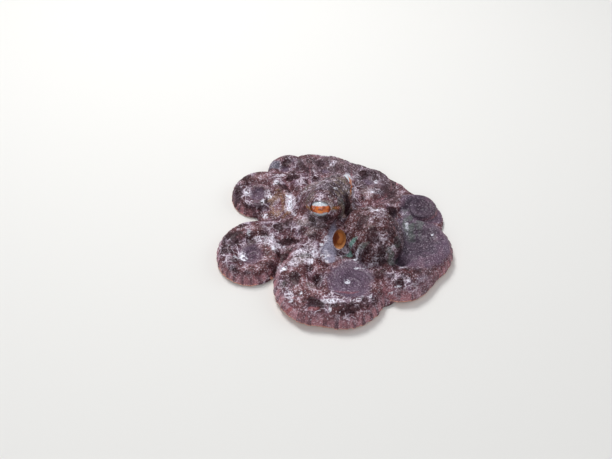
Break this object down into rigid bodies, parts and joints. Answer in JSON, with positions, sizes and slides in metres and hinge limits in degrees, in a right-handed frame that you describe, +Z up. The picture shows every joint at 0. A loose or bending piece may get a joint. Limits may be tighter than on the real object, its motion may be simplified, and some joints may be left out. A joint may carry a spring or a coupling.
{
  "type": "octopus",
  "caption": "Resting octopus with its arms curled in flat spirals round a low head and mantle, as a still display model.",
  "frame": {"origin": "middle of the footprint's bounding rectangle, on the floor the arms lie on", "axes": "+Z up; the head faces azimuth 145 degrees from +X towards +Y, the left eye looks towards -Y, and the mantle lies towards +X and -Y"},
  "size_m": [0.1872, 0.183, 0.0425],
  "materials": {
    "skin": "moist, finely granular skin, dark brown and purple blotches over a pale network",
    "eye": "wet gloss, silvery iris with an orange band",
    "funnel": "smooth moist skin, orange brown inside"
  },
  "bodies": {
    "root": {"mantle": "skin", "head": "skin", "eye_left": "eye", "eye_right": "eye", "funnel": "funnel", "arm_web": "skin", "arm_web_back": "skin", "arm_left_1_base": "skin", "arm_left_1_middle": "skin", "arm_left_1_tip": "skin", "arm_left_2_base": "skin", "arm_left_2_middle": "skin", "arm_left_2_tip": "skin", "arm_left_3_base": "skin", "arm_left_3_middle": "skin", "arm_left_3_tip": "skin", "arm_left_4_base": "skin", "arm_left_4_middle": "skin", "arm_left_4_tip": "skin", "arm_right_1_base": "skin", "arm_right_1_middle": "skin", "arm_right_1_tip": "skin", "arm_right_2_base": "skin", "arm_right_2_middle": "skin", "arm_right_2_tip": "skin", "arm_right_3_base": "skin", "arm_right_3_middle": "skin", "arm_right_3_tip": "skin", "arm_right_4_base": "skin", "arm_right_4_middle": "skin", "arm_right_4_tip": "skin"}
  },
  "joints": []
}
